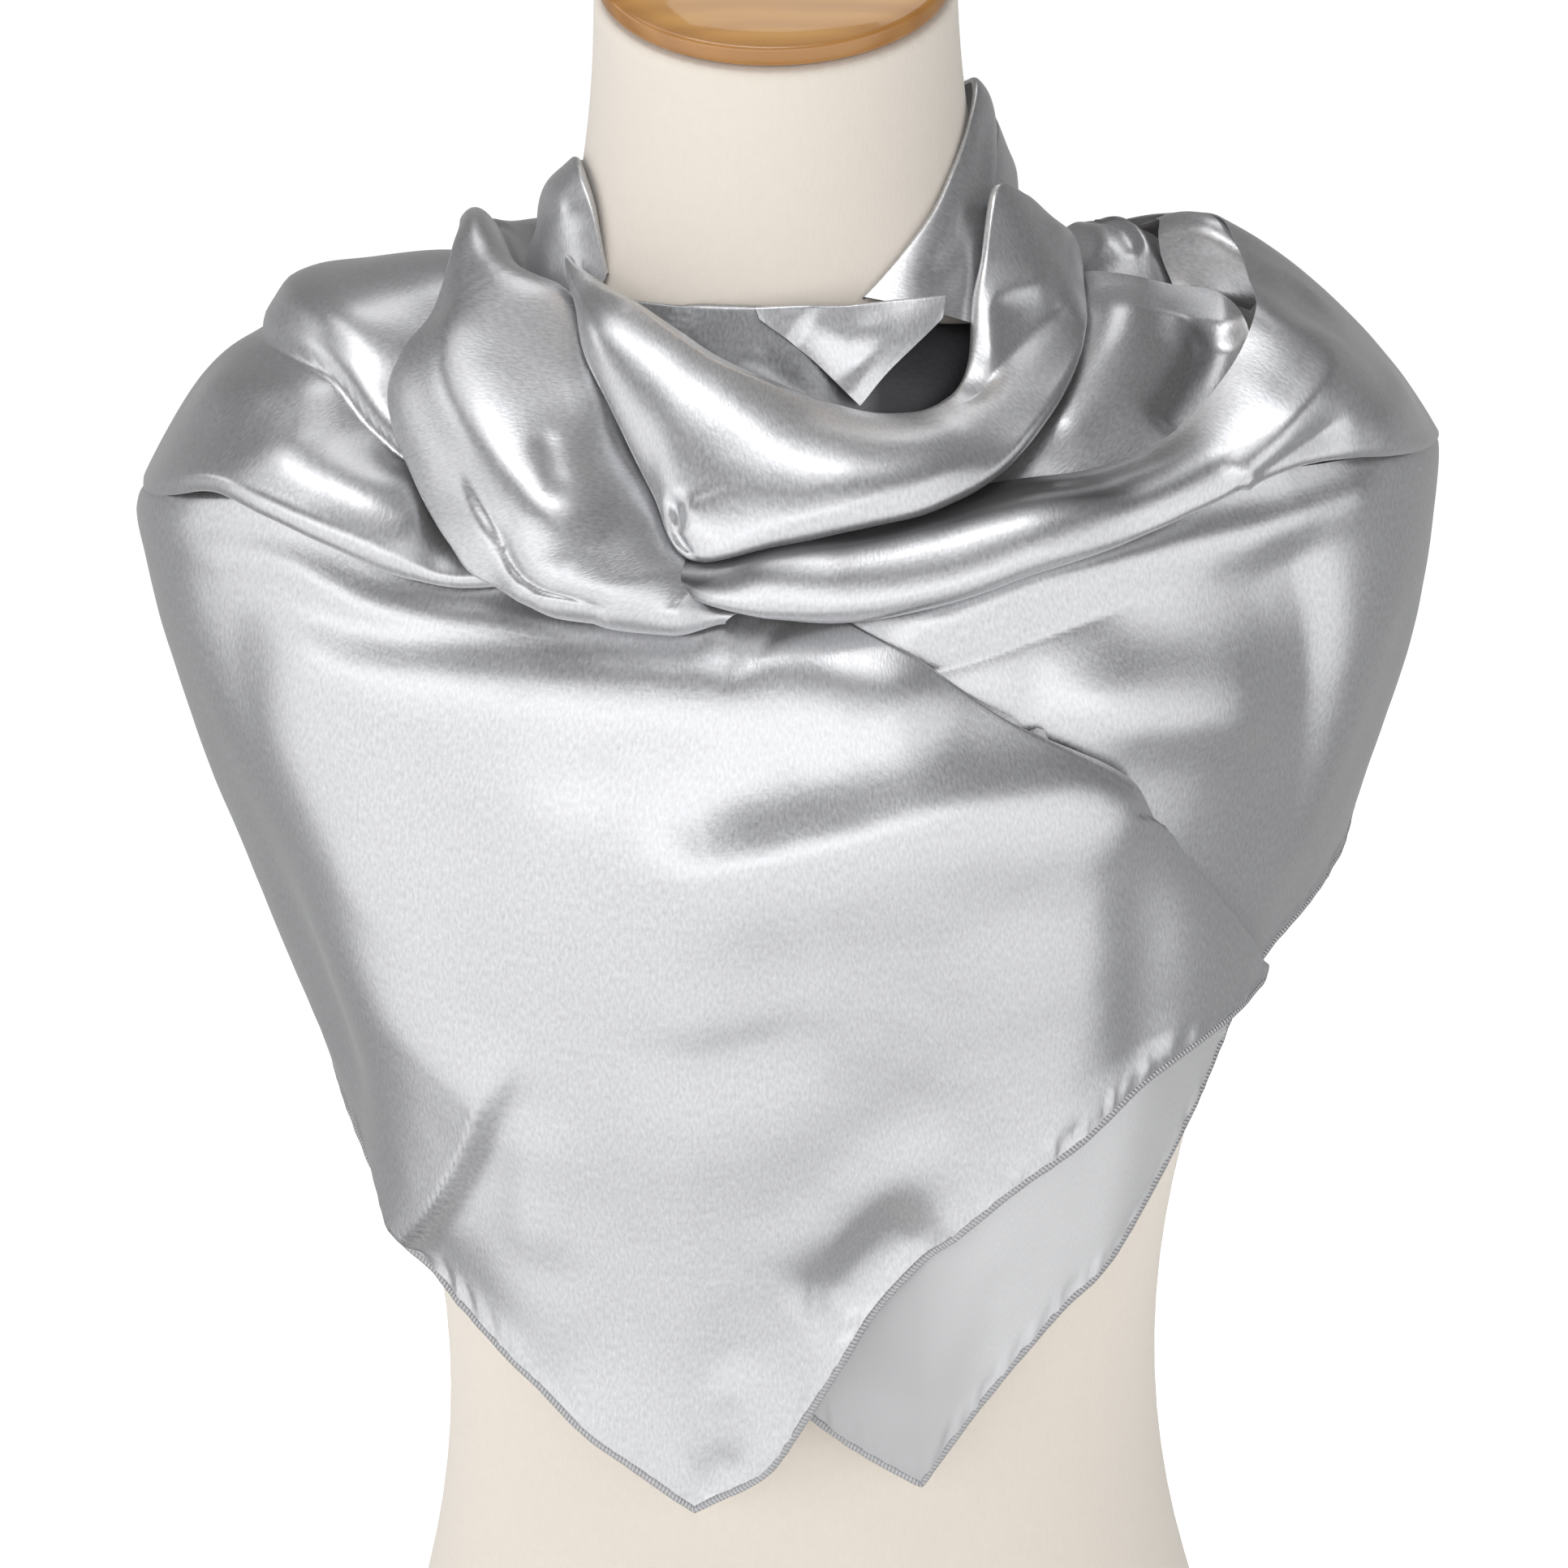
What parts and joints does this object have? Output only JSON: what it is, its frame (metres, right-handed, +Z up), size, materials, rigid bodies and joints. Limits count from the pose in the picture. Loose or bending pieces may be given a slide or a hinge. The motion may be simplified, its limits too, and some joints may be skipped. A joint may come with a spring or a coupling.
{
  "type": "square satin scarf on a limbless dress form",
  "caption": "Folded square satin scarf wound round the neck and shoulders of a limbless dress form with a turned wooden neck cap.",
  "frame": {"origin": "centre of the dress form's flat underside", "axes": "+Z up along the form, +X to the right as seen from the front, -Y towards a viewer in front"},
  "size_m": [0.4161, 0.283, 0.6839],
  "materials": {
    "ivory_cover": "fine off-white knit stretched over the form, matt",
    "varnished_wood": "honey-coloured turned wood, clear gloss varnish",
    "silver_satin": "silver-grey satin, high sheen",
    "satin_wrong_side": "dull side of the satin, soft sheen"
  },
  "bodies": {
    "root": {"form_torso": "ivory_cover", "form_neck_cap": "varnished_wood", "scarf_front_panel": "silver_satin", "scarf_under_panel": "satin_wrong_side", "scarf_right_panel": "silver_satin", "scarf_left_shoulder": "silver_satin", "scarf_right_roll": "silver_satin", "scarf_left_cowl": "silver_satin", "scarf_front_cowl": "silver_satin", "scarf_neck_wrap": "silver_satin", "scarf_neck_flap": "silver_satin", "scarf_neck_roll": "silver_satin", "scarf_inner_cowl": "silver_satin", "scarf_right_valley": "silver_satin", "scarf_shoulder_pleat": "silver_satin", "scarf_shoulder_fold": "silver_satin", "scarf_left_collar": "silver_satin"}
  },
  "joints": []
}
